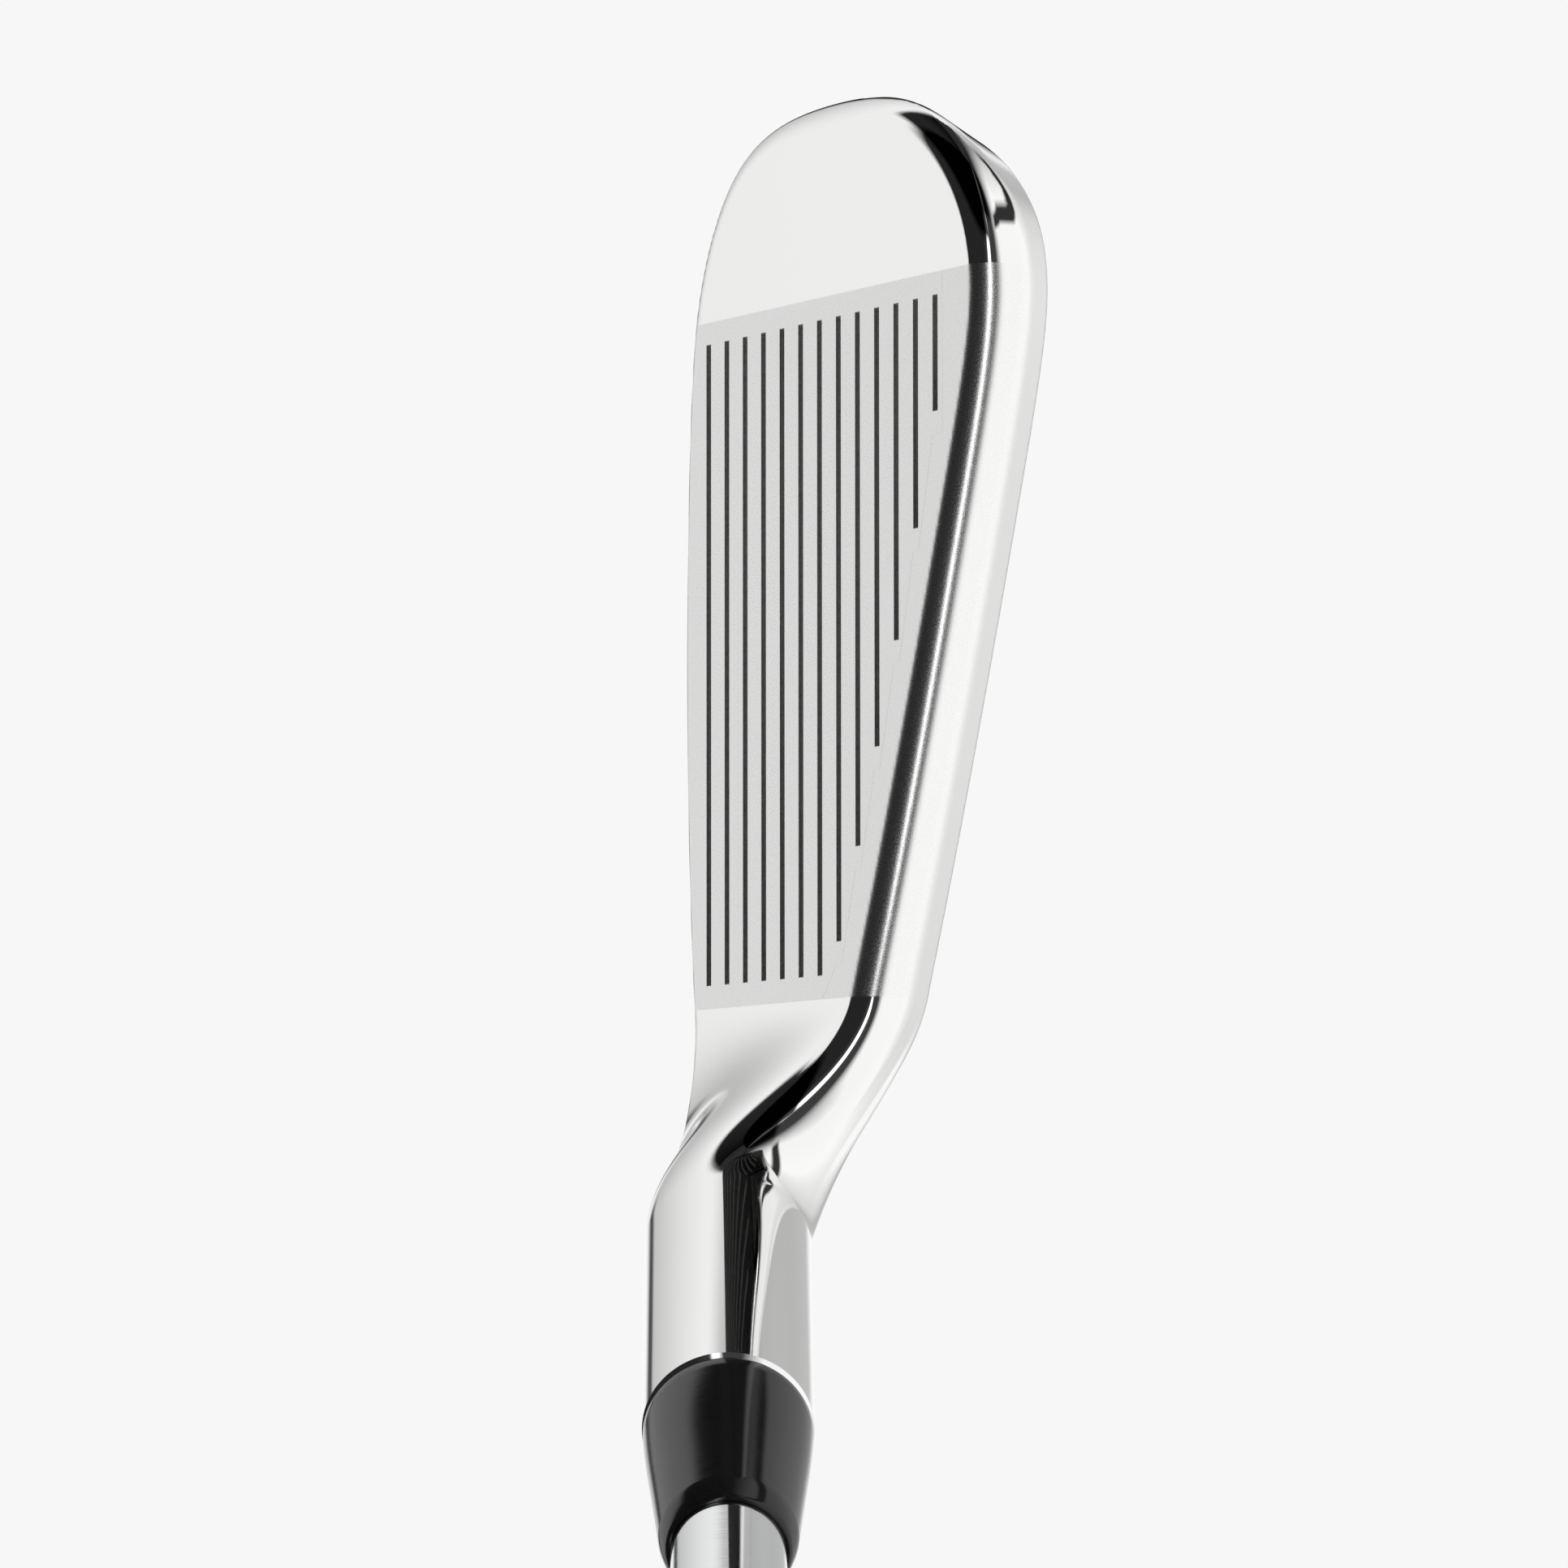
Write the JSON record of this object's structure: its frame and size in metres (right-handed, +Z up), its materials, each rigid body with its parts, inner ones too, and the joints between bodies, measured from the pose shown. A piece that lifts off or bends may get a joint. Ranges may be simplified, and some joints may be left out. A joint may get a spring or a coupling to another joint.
{
  "type": "iron golf club",
  "caption": "Iron golf club: polished blade with a satin scored face, gloss black ferrule, stepped steel shaft and ribbed rubber grip.",
  "frame": {"origin": "centre of the flat land of the sole, on the ground, under the middle of the score lines", "axes": "+Z up with the club soled at address; +X along the score lines towards the heel and shaft; -Y the way the face looks"},
  "size_m": [0.5288, 0.0395, 0.8369],
  "materials": {
    "chrome": "mirror-polished steel",
    "satin_steel": "fine sandblasted steel, score lines left rough",
    "tungsten": "sintered, unpolished",
    "urethane": "soft closed foam",
    "aluminium": "turned",
    "brass": "turned",
    "epoxy": "cured adhesive",
    "black_plastic": "acetone-polished gloss",
    "black_rubber": "moulded matt rubber",
    "badge_alloy": "dark anodised",
    "tape": "double-sided tape",
    "label": "wrapped film label"
  },
  "bodies": {
    "root": {"head_body": "chrome", "face_plate": "satin_steel", "toe_weight": "tungsten", "damping_fill": "urethane", "port_plug": "aluminium", "badge_tape": "tape", "back_badge": "badge_alloy", "epoxy_sleeve": "epoxy", "ferrule": "black_plastic", "shaft": "chrome", "tip_weight": "brass", "shaft_band": "label", "grip_tape": "tape", "grip": "black_rubber", "grip_cap": "black_rubber"}
  },
  "joints": []
}
